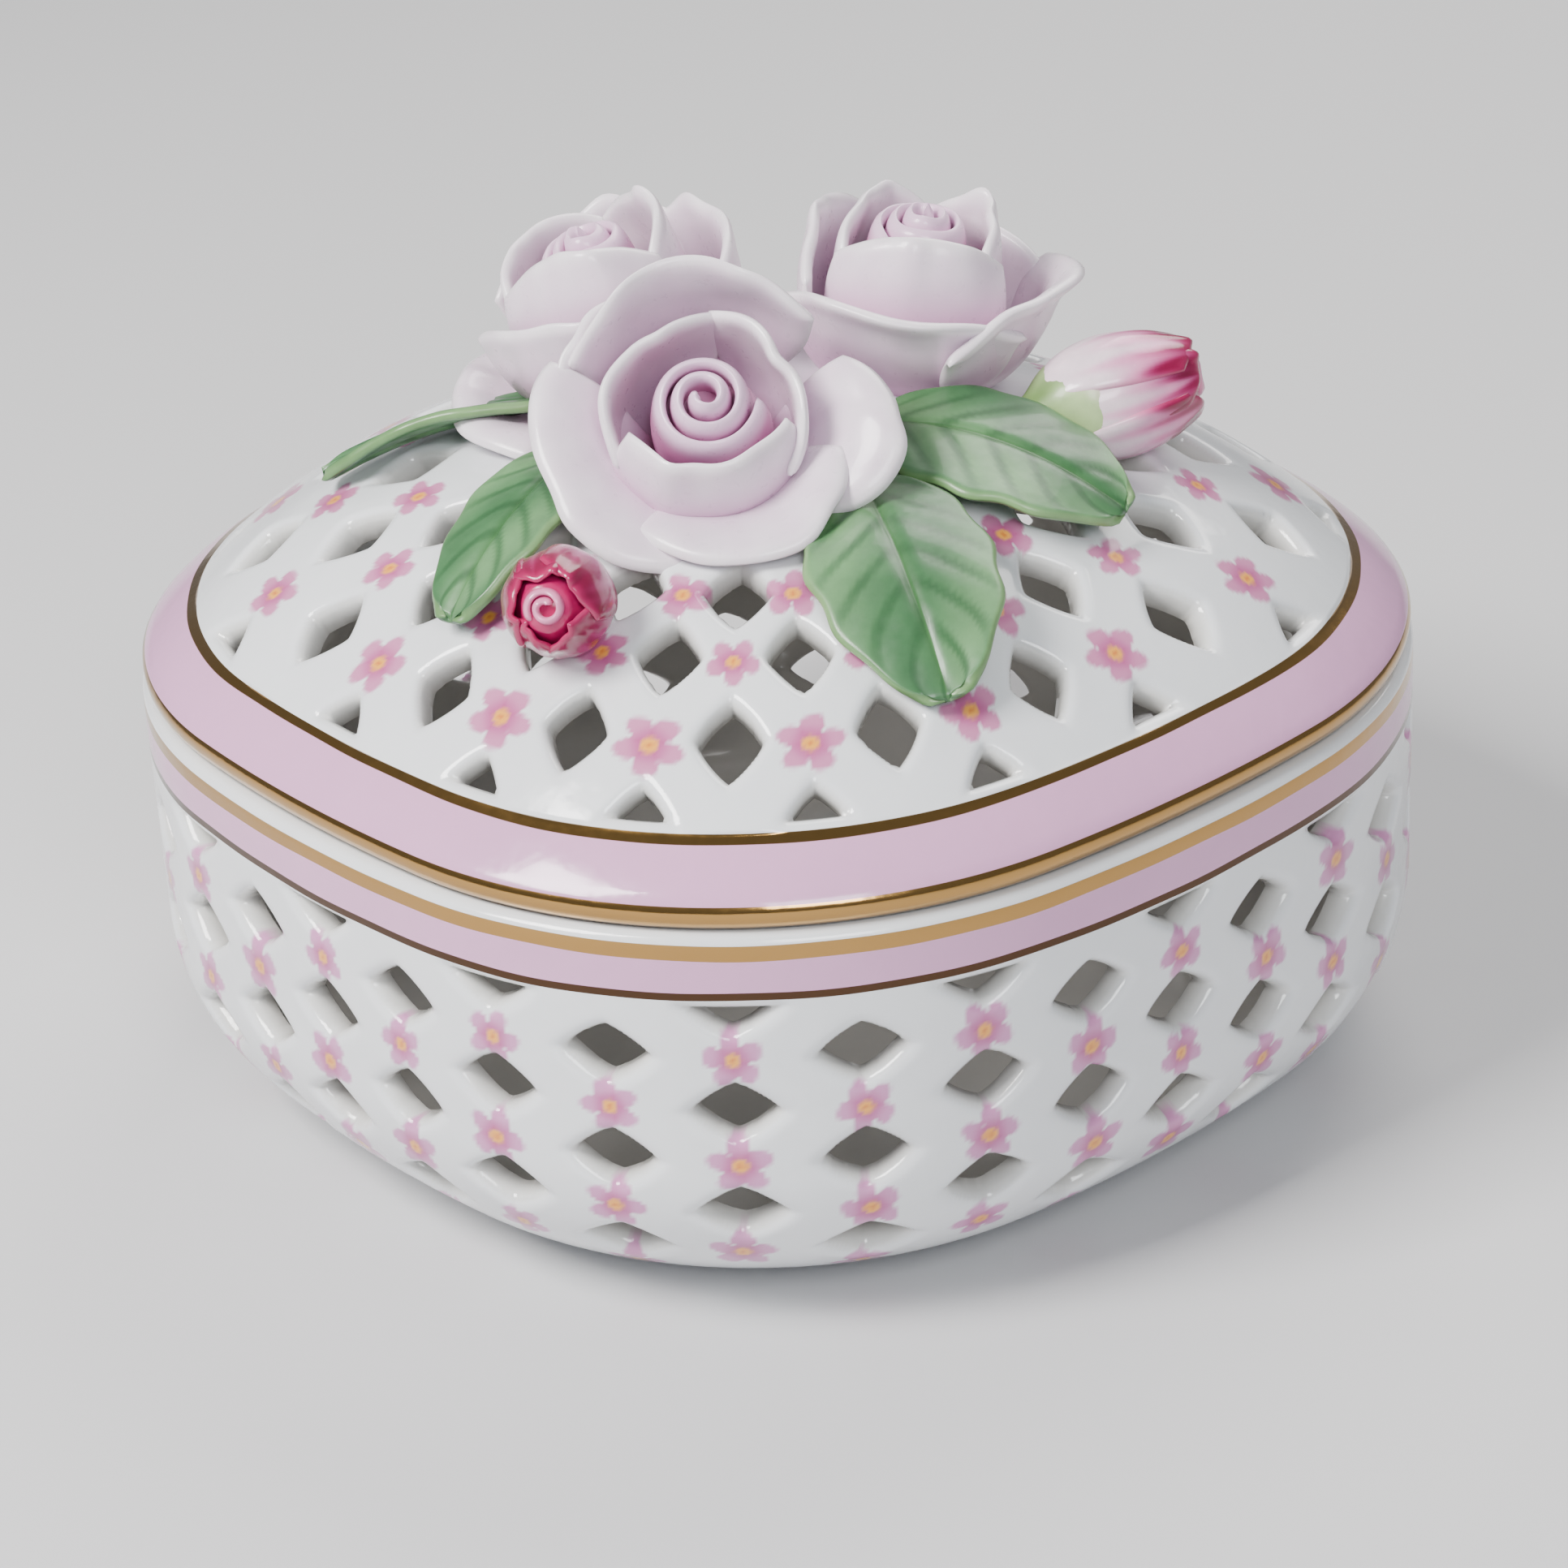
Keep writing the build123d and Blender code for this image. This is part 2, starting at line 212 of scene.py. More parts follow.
def plan_radius(half, side, corner):
    """Distance from the middle to a rounded square with bowed sides, as a function of bearing."""
    centre = (half - side + sqrt(2 * (side - corner) ** 2 - (half - side) ** 2)) / 2
    turn = atan2(centre, centre - half + side)
    t = np.linspace(-turn, turn, 400)
    u = np.linspace(turn, pi / 2 - turn, 400)[1:]
    x = np.concatenate([half - side + side * np.cos(t), centre + corner * np.cos(u)])
    y = np.concatenate([side * np.sin(t), centre + corner * np.sin(u)])
    bearings, reach = np.arctan2(y, x), np.hypot(x, y)
    start = bearings[0]
    return lambda th: np.interp((th - start) % (pi / 2) + start, bearings, reach)


body_reach = plan_radius(BODY_HALF, BODY_SIDE, BODY_CORNER)
lid_reach = plan_radius(LID_HALF, LID_SIDE, LID_CORNER)


def to_xyz(th, r, z):
    return np.stack([r * np.cos(th), r * np.sin(th), z + 0 * r], axis=-1)


def diamond(x, y, half_width, half_height, power=1.22):
    """Signed distance, roughly, to a diamond with soft corners."""
    q = (np.abs(x / half_width) ** power + np.abs(y / half_height) ** power) ** (1 / power)
    return (q - 1) * half_width * half_height / sqrt(half_width ** 2 + half_height ** 2)


def nearest(th, offset, crowding=0.0):
    """Column number and angle from the nearest centre of a row of openings or flowers."""
    turn = th - FRONT
    even = turn
    for _ in range(8):
        even = turn + crowding * np.sin(2 * even)
    column = np.round(even / (2 * pi / COLUMNS) - offset)
    centre = (column + offset) * 2 * pi / COLUMNS
    return column.astype(int) % COLUMNS, turn - (centre - crowding * np.sin(2 * centre))


FLOWER_PETALS = 5


def flower_paint(colour, x, y, spin, size, rose):
    """A small painted flower over the colours: petals, darker strokes and a yellow eye."""
    r = np.hypot(x, y) / size
    a = np.arctan2(y, x) + spin
    lobe = np.abs(np.cos(a * FLOWER_PETALS / 2))
    edge = 0.42 + 0.58 * lobe ** 0.55 + 0.05 * np.sin(7 * a + spin * 5)
    cover = smooth(0.07, -0.07, r - edge)
    tint = mixed((0.80, 0.56, 0.76), (0.79, 0.47, 0.62), rose)
    shade = mixed(tint, (0.68, 0.28, 0.50), smooth(0.75, 0.2, r) * 0.75 + 0.25 * (1 - lobe) ** 2)
    colour = mixed(colour, shade, cover * 0.95)
    colour = mixed(colour, (0.93, 0.66, 0.30), smooth(0.30, 0.20, r))
    return mixed(colour, (0.80, 0.42, 0.22), smooth(0.13, 0.05, r) * 0.7)


def pierced(theta, ts, place, hole, wall, edge_round, paint, extra):
    """A pierced shell: two sheets over a grid of bearing and profile place, cut along the openings.

    place(th, t, depth) gives points, hole(th, t) signed distances to the openings. extra are rows
    of (points, colour, gilt) that join the outer sheet's first row to the inner sheet's.
    """
    n, m = len(theta), len(ts)
    th = np.tile(theta, m)
    t = np.repeat(ts, n)
    sd = hole(th, t)
    sd[np.abs(sd) < SNAP] = 0.0
    i, j = np.meshgrid(np.arange(m - 1), np.arange(n), indexing="ij")
    a = (i * n + j).ravel()
    b = (i * n + (j + 1) % n).ravel()
    quads = np.stack([a, b, b + n, a + n], axis=1)
    signs = sd[quads]
    keep = (signs >= 0).all(1)
    part = ~keep & (signs > 0).any(1)
    faces = quads[keep].tolist()
    extra_th, extra_t, cache = [], [], {}
    start = n * m

    def crossing(p, q):
        key = (min(p, q), max(p, q))
        if key not in cache:
            share = sd[p] / (sd[p] - sd[q])
            turn = (th[q] - th[p] + pi) % (2 * pi) - pi
            extra_th.append(th[p] + turn * share)
            extra_t.append(t[p] + (t[q] - t[p]) * share)
            cache[key] = start + len(extra_th) - 1
        return cache[key]

    for quad in quads[part].tolist():
        ring = []
        for p, q in zip(quad, quad[1:] + quad[:1]):
            if sd[p] >= 0:
                ring.append(p)
            if sd[p] * sd[q] < 0:
                ring.append(crossing(p, q))
        if len(ring) > 2:
            faces.append(ring)
    th = np.concatenate([th, extra_th])
    t = np.concatenate([t, extra_t])
    sd = np.maximum(np.concatenate([sd, np.zeros(len(extra_th))]), 0)
    total = len(th)
    edges = []
    for face in faces:
        edges += zip(face, face[1:] + face[:1])
    edges = np.array(edges)
    key = np.minimum(edges[:, 0], edges[:, 1]) * total + np.maximum(edges[:, 0], edges[:, 1])
    _, first, count = np.unique(key, return_index=True, return_counts=True)
    rim = edges[first[count == 1]]
    last = (m - 1) * n
    on_rim = ((rim < n).all(1)) | ((rim >= last) & (rim < n * m)).all(1)
    rim = rim[~on_rim]
    soft = np.clip(1 - sd / edge_round, 0, 1)
    dip = edge_round * (1 - np.sqrt(np.maximum(1 - soft ** 2, 0))) * 0.9
    outer = place(th, t, dip)
    inner = place(th, t, wall - dip * 0.35)
    verts = [outer, inner]
    colours, gilt = paint(th, t, sd)
    # the inner sheet gets the greyer colour, painted shade inside the shell
    inside = np.tile(INSIDE_SHADE, (total, 1))
    colours = [colours, inside]
    gilts = [gilt, np.zeros(total)]
    out = [f[::-1] for f in faces] + [[v + total for v in f] for f in faces]
    out += [[p, q, q + total, p + total] for p, q in rim.tolist()]
    base, upper = 2 * total, np.arange(n)
    for points, colour, metal in extra:
        verts.append(points)
        colours.append(np.tile(colour, (n, 1)))
        gilts.append(np.full(n, metal))
        lower = base + np.arange(n)
        out += np.stack([upper, lower, np.roll(lower, -1), np.roll(upper, -1)], 1)[:, ::-1].tolist()
        upper, base = lower, base + n
    lower = total + np.arange(n)
    out += np.stack([upper, lower, np.roll(lower, -1), np.roll(upper, -1)], 1)[:, ::-1].tolist()
    out.append(list(range(last, last + n)))
    out.append([total + v for v in range(last, last + n)][::-1])
    return np.vstack(verts), out, np.vstack(colours), np.concatenate(gilts)


N_ROUND = 960
theta = FRONT + np.arange(N_ROUND) * 2 * pi / N_ROUND
# the painted lines wander a little
wobble = 0.05 * np.sin(5 * theta) + 0.04 * np.sin(13 * theta + 1) + 0.03 * np.sin(29 * theta)

# ---- body: t is the way down the outside, starting at z = 36.9, then across the underside ----
BODY_TOP, TURN, BASE_Z = 36.9, 17.0, 1.6
TURN_Z = BASE_Z + TURN
WALL_END = BODY_TOP - TURN_Z
BASE_START = WALL_END + TURN * pi / 2


def body_place(th, t, depth):
    angle = np.clip((t - WALL_END) / TURN, 0, pi / 2)
    z = np.where(t < WALL_END, BODY_TOP - t, TURN_Z - TURN * np.sin(angle))
    level = body_reach(th) - TURN * (1 - np.cos(angle)) - depth * np.cos(angle)
    shrink = np.clip(1 - (t - BASE_START) / 42.0, 0.03, 1)
    return to_xyz(th, level * shrink, z + depth * np.sin(angle))


def body_level(th, t):
    angle = np.clip((t - WALL_END) / TURN, 0, pi / 2)
    return body_reach(th) - TURN * (1 - np.cos(angle))


# rows of openings: place down the wall and share of a column that they are set off by
body_rows = [(5.9, 0.5), (11.3, 0.0), (16.7, 0.5), (22.15, 0.0), (27.75, 0.5)]
BODY_OPENING = (3.85, 2.75)             # half width and half height
TOP_ROW, TOP_OPENING, TOP_LINE = 0.5, (3.9, 2.8), 0.75     # this row is cut off by the gold line
LAST_FLOWERS = (33.2, 0.0)


def body_hole(th, t):
    level = body_level(th, t)
    _, turn = nearest(th, 0.0)
    sd = np.maximum(diamond(turn * level, t - TOP_ROW, *TOP_OPENING), TOP_LINE - t)
    for row_t, offset in body_rows:
        _, turn = nearest(th, offset)
        sd = np.minimum(sd, diamond(turn * level, t - row_t, *BODY_OPENING))
    return sd


body_spin = rng.uniform(0, 6.3, (8, COLUMNS))
body_size = rng.uniform(2.6, 3.1, (8, COLUMNS))
body_nudge = rng.uniform(-0.4, 0.4, (8, COLUMNS, 2))


def body_paint(th, t, sd):
    colour = np.tile(GLAZE, (len(th), 1)).astype(float)
    # painted shade: greyer towards each opening's edge
    colour = mixed(colour, EDGE_SHADE, smooth(0.5, 0.0, sd) * 0.55)
    level = body_level(th, t)
    for row, (row_t, offset) in enumerate(body_rows + [LAST_FLOWERS]):
        column, turn = nearest(th, offset + 0.5)
        nudge = body_nudge[row, column]
        colour = flower_paint(colour, turn * level + nudge[:, 0], (t - row_t) + nudge[:, 1],
                              body_spin[row, column], body_size[row, column], 0.35)
    return colour, np.zeros(len(th))


def body_ring(inset, z):
    return to_xyz(theta, body_reach(theta) - inset, z)


# from the lattice up over the rim and down the inside: points, colour, gilt
body_extra = [
    (body_ring(0.0, 37.1 + wobble), GLAZE, 0), (body_ring(0.0, 37.15 + wobble), DARK_GOLD_AND_SHADE, 1),
    (body_ring(0.0, 37.85 + wobble), DARK_GOLD_AND_SHADE, 1), (body_ring(0.0, 37.9 + wobble), PINK, 0),
    (body_ring(0.0, 39.4), PINK, 0), (body_ring(0.0, 41.15 - wobble), PINK, 0),
    (body_ring(0.0, 41.2 - wobble), GOLD, 1), (body_ring(0.0, 41.9), GOLD, 1),
    (body_ring(0.02, 42.65 - wobble / 2), GOLD, 1), (body_ring(0.03, 42.7 - wobble / 2), GLAZE, 0),
    (body_ring(0.26, 43.15), GLAZE, 0), (body_ring(0.9, RIM_Z), GLAZE, 0),
    (body_ring(2.5, RIM_Z), GLAZE, 0), (body_ring(WALL, 42.9), GLAZE, 0), (body_ring(WALL, 40.0), GLAZE, 0)]
body_ts = np.concatenate([np.linspace(0, BASE_START - 8, 118), np.linspace(BASE_START - 7, BASE_START + 1, 10),
                          np.linspace(BASE_START + 4, BASE_START + 41, 9)])
BODY_EDGE, LID_EDGE = 1.25, 1.1         # how far the openings' edges are rounded
verts, faces, colours, gilt = pierced(theta, body_ts, body_place, body_hole, WALL, BODY_EDGE, body_paint,
                                      body_extra)
# the foot ring stands under the base
FOOT_PROFILE = ((0.62, 2.2), (0.62, 0.35), (0.612, 0.0), (0.578, 0.0), (0.57, 0.35), (0.57, 2.2))
foot = [to_xyz(theta[::4], body_reach(theta[::4]) * share, z) for share, z in FOOT_PROFILE]
ring = len(foot[0])
foot_faces = []
for row in range(len(foot)):
    for p in range(ring):
        q = (p + 1) % ring
        nxt = (row + 1) % len(foot)
        foot_faces.append([len(verts) + row * ring + p, len(verts) + nxt * ring + p,
                           len(verts) + nxt * ring + q, len(verts) + row * ring + q])
verts = np.vstack([verts] + foot)
colours = np.vstack([colours, np.tile(GLAZE, (len(foot) * ring, 1))])
gilt = np.concatenate([gilt, np.zeros(len(foot) * ring)])
make("pierced_body", verts, faces + foot_faces, colours, SHELL, "box", "porcelain", ["box_body"], gilt)

# ---- lid: t runs from the edge of the dome up towards its middle, as a share of the radius ----
DOME_POWER = 2.8                        # how the dome falls away from its middle
DOME_START = 0.9
LID_MEAN = 60.0                         # the lid's mean radius


def lid_slope(share):
    rise = (APEX_Z - DOME_Z) * DOME_POWER * (share / DOME_FOOT) ** (DOME_POWER - 1) / DOME_FOOT
    return np.arctan(rise / LID_MEAN)


def lid_height(share):
    return DOME_Z + (APEX_Z - DOME_Z) * (1 - (share / DOME_FOOT) ** DOME_POWER)


def lid_place(th, share, depth):
    slope = lid_slope(share)
    r = np.maximum(lid_reach(th) * share - depth * np.sin(slope), 0.4)
    return to_xyz(th, r, lid_height(share) - depth * np.cos(slope))


shares = np.linspace(0, 0.95, 400)
way = np.concatenate([[0], np.cumsum(np.hypot(np.diff(shares) * LID_MEAN, np.diff(lid_height(shares))))])
lid_rows = [(0.79, 0.0), (0.665, 0.5), (0.55, 0.0)]
LID_OPENING = (2.95, 3.95)
EDGE_ROW, EDGE_OPENING, EDGE_LINE = 0.90, (2.9, 3.7), 53.35     # this row is cut off by the band


def lid_way(th, share):
    return np.interp(share, shares, way) * lid_reach(th) / LID_MEAN


def lid_hole(th, share):
    along = lid_way(th, share)
    level = lid_reach(th) * share
    _, turn = nearest(th, 0.5, CROWDING)
    sd = np.maximum(diamond(turn * level, along - lid_way(th, EDGE_ROW), *EDGE_OPENING),
                    share * LID_MEAN - EDGE_LINE)
    for row_share, offset in lid_rows:
        _, turn = nearest(th, offset, CROWDING)
        sd = np.minimum(sd, diamond(turn * level, along - lid_way(th, row_share), *LID_OPENING))
    return sd


lid_spin = rng.uniform(0, 6.3, (4, COLUMNS))
lid_size = rng.uniform(3.0, 3.5, (4, COLUMNS))
FLOWER_ROWS = (1.0, 0.86, 0.86)         # the flowers' size in each row


def lid_paint(th, share, sd):
    colour = np.tile(GLAZE, (len(th), 1)).astype(float)
    # painted shade: greyer towards each opening's edge
    colour = mixed(colour, EDGE_SHADE, smooth(0.5, 0.0, sd) * 0.55)
    along, level = lid_way(th, share), lid_reach(th) * share
    for row, (row_share, offset) in enumerate(lid_rows):
        column, turn = nearest(th, offset + 0.5, CROWDING)
        colour = flower_paint(colour, turn * level, along - lid_way(th, row_share + 0.01),
                              lid_spin[row, column], lid_size[row, column] * FLOWER_ROWS[row], 0.8)
    return colour, np.zeros(len(th))


def lid_ring(inset, z, share=1.0):
    return to_xyz(theta, lid_reach(theta) * share - inset, z)


# from the dome's foot over the band and the rolled edge, then down and up the locating flange
lid_extra = [
    (lid_ring(0.0, lid_height(0.906), 0.906), GLAZE, 0), (lid_ring(wobble, lid_height(0.907), 0.907), GOLD, 1),
    (lid_ring(wobble, DOME_Z + 0.05, DOME_FOOT), GOLD, 1), (lid_ring(4.82 + wobble, 49.85), GOLD, 1),
    (lid_ring(4.76 + wobble, 49.81), PINK, 0), (lid_ring(3.6, 49.05), PINK, 0),
    (lid_ring(2.4, 48.15), PINK, 0), (lid_ring(1.2, 47.15), PINK, 0), (lid_ring(0.4, 46.4), PINK, 0),
    (lid_ring(0.3, 46.2), PINK, 0),
    (lid_ring(0.27, 46.15), GOLD, 1), (lid_ring(0.04, 45.85), GOLD, 1), (lid_ring(0.0, 45.4), GOLD, 1),
    (lid_ring(0.05, 44.9), GOLD, 1), (lid_ring(0.3, 44.3), GOLD, 1), (lid_ring(0.75, 43.85), GOLD, 1),
    # the dark row at 43.62 is painted shade on the underside of the rolled gold edge
    (lid_ring(1.3, 43.62), DARK_GOLD_AND_SHADE, 1), (lid_ring(1.5, 43.6), GLAZE, 0), (lid_ring(3.9, 43.6), GLAZE, 0),
    (lid_ring(3.9, FLANGE_Z + 0.4), GLAZE, 0), (lid_ring(4.3, FLANGE_Z), GLAZE, 0),
    (lid_ring(5.9, FLANGE_Z), GLAZE, 0), (lid_ring(6.3, FLANGE_Z + 0.4), GLAZE, 0),
    (lid_ring(6.6, 43.6), GLAZE, 0), (lid_ring(7.6, 46.4), GLAZE, 0)]
lid_ts = np.concatenate([np.linspace(DOME_START, 0.42, 92), np.linspace(0.40, 0.03, 14)])
verts, faces, colours, gilt = pierced(theta, lid_ts, lid_place, lid_hole, WALL, LID_EDGE, lid_paint,
                                      lid_extra)
make("pierced_lid", verts, [f[::-1] for f in faces], colours, SHELL, "lid", "porcelain", ["lid_shell"], gilt)


# ---- the spray: (across, back, up) as seen by someone who faces it ----
def place(point):
    x, y, z = point
    return np.array([cos(SPRAY) * x - sin(SPRAY) * y, sin(SPRAY) * x + cos(SPRAY) * y, z + BAND_Z])


def direction(vector):
    out = place(vector) - place((0, 0, 0))
    return out / np.linalg.norm(out)


class Stand:
    """Local axes at a flower: z along its stem, x across the spray."""

    def __init__(self, origin, axis):
        self.origin = np.asarray(origin, float)
        self.z = direction(axis)
        side = direction((1, 0, 0))
        self.x = side - self.z * side.dot(self.z)
        self.x /= np.linalg.norm(self.x)
        self.y = np.cross(self.z, self.x)

    def out(self, local):
        return self.origin + local[..., 0:1] * self.x + local[..., 1:2] * self.y + local[..., 2:3] * self.z


def sheet(grid, thickness, rim=4):
    """A closed solid around a middle surface of (rows, columns, 3) points, with rounded rims."""
    rows, cols = grid.shape[:2]
    du = np.gradient(grid, axis=1)
    dv = np.gradient(grid, axis=0)
    normal = np.cross(du, dv)
    normal /= np.maximum(np.linalg.norm(normal, axis=2, keepdims=True), 1e-9)
    from_u = np.minimum(np.arange(cols), np.arange(cols)[::-1])[None, :]
    from_v = np.arange(rows)[::-1][:, None]
    e = np.clip(np.minimum(from_u, from_v) / rim, 0, 1)
    half = thickness / 2 * np.sqrt(np.maximum(1 - (1 - e) ** 2, 0.02))
    verts = np.concatenate([(grid + normal * half[..., None]).reshape(-1, 3),
                            (grid - normal * half[..., None]).reshape(-1, 3)])
    count = rows * cols
    i, j = np.meshgrid(np.arange(rows - 1), np.arange(cols - 1), indexing="ij")
    a = (i * cols + j).ravel()
    quads = np.stack([a, a + 1, a + cols + 1, a + cols], 1)
    border = list(range(cols)) + [r * cols + cols - 1 for r in range(1, rows)]
    border += [(rows - 1) * cols + c for c in range(cols - 2, -1, -1)]
    border += [r * cols for r in range(rows - 2, 0, -1)]
    faces = quads.tolist() + (quads[:, ::-1] + count).tolist()
    for p, q in zip(border, border[1:] + border[:1]):
        faces.append([q, p, p + count, q + count])
    return verts, faces


def packed(low, high, count, ends=0.35):
    """Places from low to high that crowd towards both ends."""
    t = np.linspace(0, 1, count)
    t = (1 - ends) * t + ends * (1 - np.cos(pi * t)) / 2
    return low + (high - low) * t


def curve(points, t):
    """A smooth line through (radius, height) points, at shares t of its length."""
    points = np.array(points, float)
    knots = np.concatenate([[0], np.cumsum(np.linalg.norm(np.diff(points, axis=0), axis=1))])
    knots /= knots[-1]
    slopes = np.gradient(points, knots, axis=0)
    i = np.clip(np.searchsorted(knots, t, side="right") - 1, 0, len(knots) - 2)
    h = knots[i + 1] - knots[i]
    s = ((t - knots[i]) / h)[..., None]
    h = h[..., None]
    return ((2 * s ** 3 - 3 * s ** 2 + 1) * points[i] + (s ** 3 - 2 * s ** 2 + s) * h * slopes[i]
            + (3 * s ** 2 - 2 * s ** 3) * points[i + 1] + (s ** 3 - s ** 2) * h * slopes[i + 1])


PETAL_ROWS, PETAL_COLS = 33, 41


def petal(stand, bearing, half_angle, line, roll=1.6, droop=0.2, side_roll=1.0, wave=0.4, point=0.0,
          point_at=0.0, thickness=1.25, deep=0.5, seed=0):
    """One petal as a cupped sheet: line is its middle from root to rim, as (radius, height)."""
    u = packed(-1, 1, PETAL_COLS)[None, :]
    v = packed(0, 1, PETAL_ROWS, 0.2)[:, None]
    reach = v * (1 - droop * np.abs(u) ** 2.6)
    local = curve(line, reach)
    r, h = local[..., 0], local[..., 1]
    width = 0.62 + 0.38 * np.sin(np.clip(v, 0, 0.75) / 0.75 * pi / 2)
    angle = radians(bearing) + radians(half_angle) * u * width
    lip = np.clip((v - 0.72) / 0.28, 0, 1) ** 2
    phase = seed * 1.7
    r = r + roll * lip * (1 + 0.35 * np.sin(2.3 * u + phase)) + side_roll * np.abs(u) ** 4 * v
    r = r + wave * np.sin(4.2 * u + phase) * v ** 2 + 0.1 * np.sin(9 * u + 5 * v + phase) * v
    h = h - roll * 0.55 * lip ** 2 + 0.35 * wave * np.sin(3.1 * u + phase + 1) * v ** 2
    fold = np.exp(-((u - 0.45 * np.sin(phase * 3)) / 0.16) ** 2) * v ** 3
    r = r + 0.55 * fold * np.sign(np.sin(phase * 5 + 1))
    h = h + point * np.exp(-((u - point_at) / 0.22) ** 2) * v ** 6 + 0.3 * fold
    grid = np.stack([r * np.cos(angle), r * np.sin(angle), h], axis=-1)
    verts, faces = sheet(stand.out(grid), thickness)
    uu = np.tile((u + 0 * v).ravel(), 2)
    vv = np.tile((v + 0 * u).ravel(), 2)
    inner_side = np.repeat([1.0, 0.0], grid.shape[0] * grid.shape[1])
    pale, mid, rosy = (0.92, 0.87, 0.91), (0.84, 0.70, 0.81), (0.76, 0.44, 0.58)
    colour = mixed(mid, pale, smooth(0.2, 0.85, vv) * 0.85 + 0.075)
    colour = mixed(colour, (0.79, 0.51, 0.69), inner_side * smooth(0.9, 0.35, vv) * deep)
    colour = mixed(colour, rosy, smooth(0.32, 0.0, vv) * 0.8)
    edge = np.maximum(smooth(0.9, 1.0, vv), smooth(0.9, 1.0, np.abs(uu)))
    colour = mixed(colour, (0.96, 0.94, 0.95), edge * 0.8)
    streak = 0.5 + 0.5 * np.sin(uu * 17 + phase + 2 * np.sin(5 * vv))
    return verts, faces, mixed(colour, mid, streak * 0.12)


def turned(stand, line, colour_of, lobes=0, depth=0.0, count=48, rows=26):
    """A closed turned solid: line is (radius, height) from the bottom to the top."""
    t = np.linspace(0, 1, rows)
    profile = curve(line, t)
    a = np.arange(count) * 2 * pi / count
    ripple = 1 + depth * np.cos(lobes * a)[None, :] * np.sin(pi * t)[:, None]
    r = profile[:, 0:1] * ripple
    grid = np.stack([r * np.cos(a), r * np.sin(a), profile[:, 1:2] + 0 * r], axis=-1)
    verts = stand.out(grid).reshape(-1, 3)
    faces = []
    for i in range(rows - 1):
        for j in range(count):
            k = (j + 1) % count
            faces.append([i * count + j, i * count + k, (i + 1) * count + k, (i + 1) * count + j])
    faces.append(list(range(count))[::-1])
    faces.append([(rows - 1) * count + j for j in range(count)])
    return verts, faces, colour_of(np.repeat(t, count), np.tile(a, rows))


def scroll(stand, turns, inner, step, bottom, top, thickness, fall, start, inner_colour, rim_colour, lean=0.5):
    """A rolled strip of clay: the spiral in the middle of a rose or a bud."""
    u = np.linspace(0, 1, int(56 * turns))[None, :]
    v = packed(0, 1, 17, 0.2)[:, None]
    a = start + u * turns * 2 * pi
    r = inner + step * u * turns + 0.25 * np.sin(v * pi) - lean * v ** 3 * (0.3 + u)
    ends = np.sqrt(np.clip(np.minimum(u, 1 - u) / 0.04, 0, 1))
    h = bottom + (top - fall * u * turns - bottom) * v * (0.86 + 0.14 * ends) + 0.12 * np.sin(3 * a) * v
    grid = np.stack([r * np.cos(a), r * np.sin(a), h + 0 * a], axis=-1)
    verts, faces = sheet(stand.out(grid), thickness, 3)
    vv = np.tile((v + 0 * u).ravel(), 2)
    return verts, faces, mixed(inner_colour, rim_colour, smooth(0.72, 0.98, vv))


# name: stem direction, height of the cup, then the turn, step and top of the heart's spiral
rose_stems = {"front": ((-0.02, -0.72, 0.70), 1.0, 2.6, 1.78, 15.4),
              "left": ((-0.30, -0.10, 0.95), 1.12, 1.0, 1.62, 14.6),
              "right": ((0.12, -0.12, 0.98), 1.14, 0.4, 1.62, 14.6)}
HEART_MIDDLE = 6.05                     # height of a heart's middle over its root
heart_axis = {"front": (-0.02, -0.72, 0.70), "left": (-0.16, 0.02, 0.99), "right": (0.16, -0.04, 0.99)}
# middle lines of the petals, root to rim: radius, height
inner_line = [(4.8, -1.5), (7.9, 3.0), (8.7, 8.0), (8.3, 12.8)]
bud_front_line = [(4.4, -1.5), (8.6, 2.6), (9.2, 8.2), (6.6, 14.2)]
open_line = [(5.0, 1.2), (9.4, 6.2), (12.8, 9.0), (15.2, 10.6)]
outer_line = [(6.0, -1.5), (10.6, 1.0), (13.6, 4.2), (15.0, 8.2)]


def scaled_line(line, wide, tall):
    """A middle line made wider towards the rim and taller."""
    root, rim = line[0][1], line[-1][1]
    out = []
    for r, h in line:
        share = (h - root) / (rim - root)
        out.append((r * (1 + (wide - 1) * share), root + (h - root) * tall))
    return out


